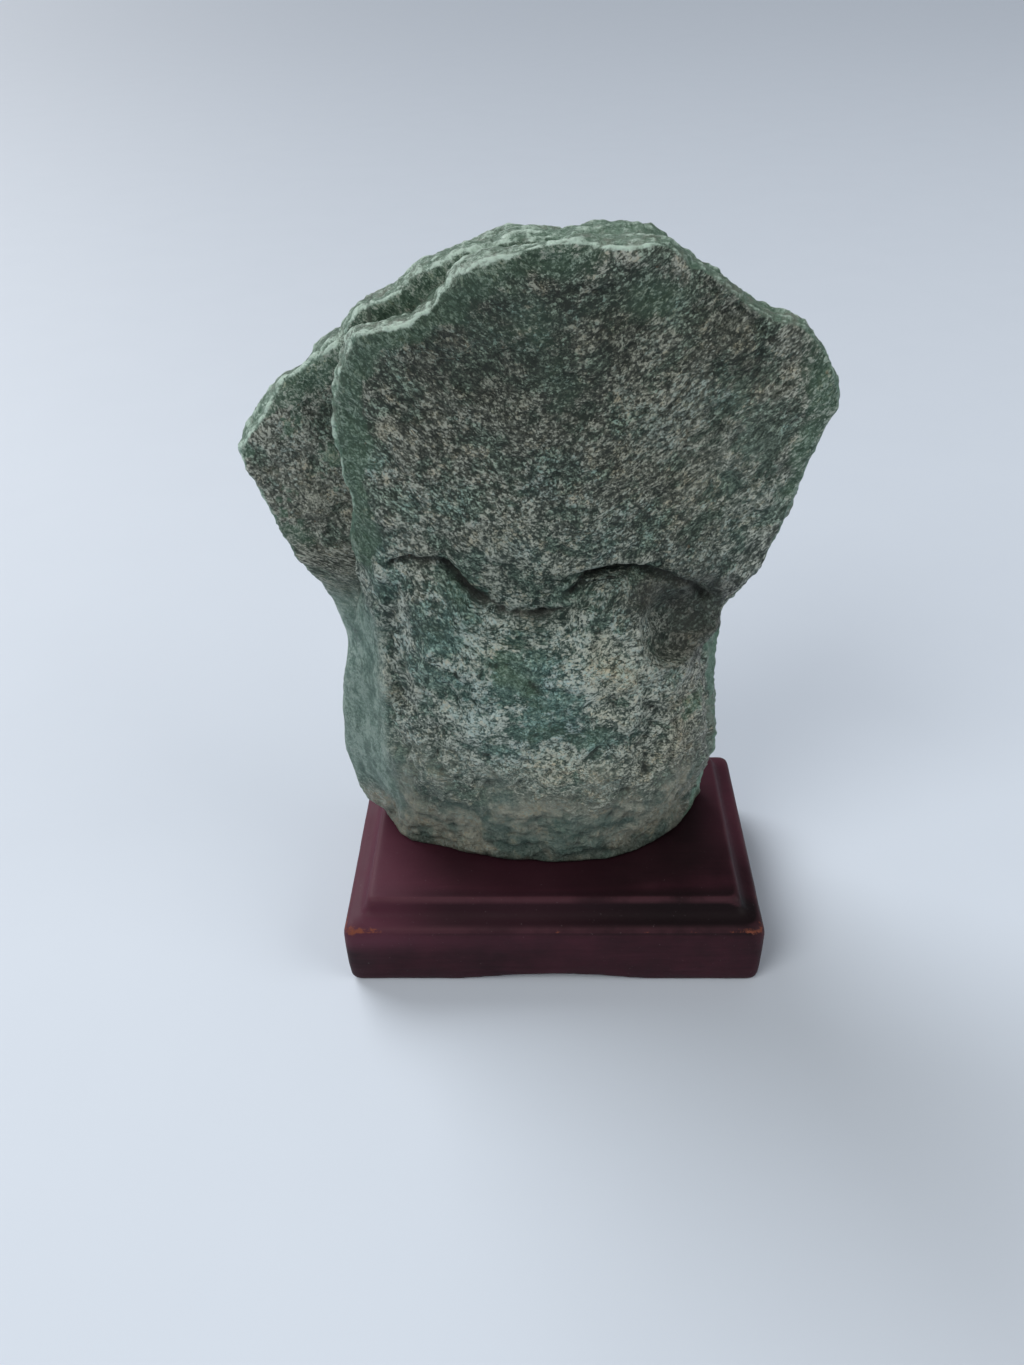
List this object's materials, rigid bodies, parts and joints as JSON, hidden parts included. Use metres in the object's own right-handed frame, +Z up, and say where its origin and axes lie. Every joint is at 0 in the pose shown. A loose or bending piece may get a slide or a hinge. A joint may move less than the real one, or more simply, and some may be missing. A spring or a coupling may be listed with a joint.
{
  "type": "raw fuchsite on a wooden stand",
  "caption": "Rough upright slab of green mica schist, split into leaves and thicker at the foot, standing on a rectangular dark wooden stand with a moulded edge.",
  "frame": {"origin": "on the table, under the middle of the whole object's bounding box", "axes": "+Z up, +X to the right of someone facing the broad face, +Y towards the back of the rock"},
  "size_m": [0.1056, 0.057, 0.1493],
  "materials": {
    "fuchsite": "matte",
    "lacquered_wood": "satin"
  },
  "bodies": {
    "root": {"fuchsite_rock": "fuchsite", "wooden_stand": "lacquered_wood"}
  },
  "joints": []
}
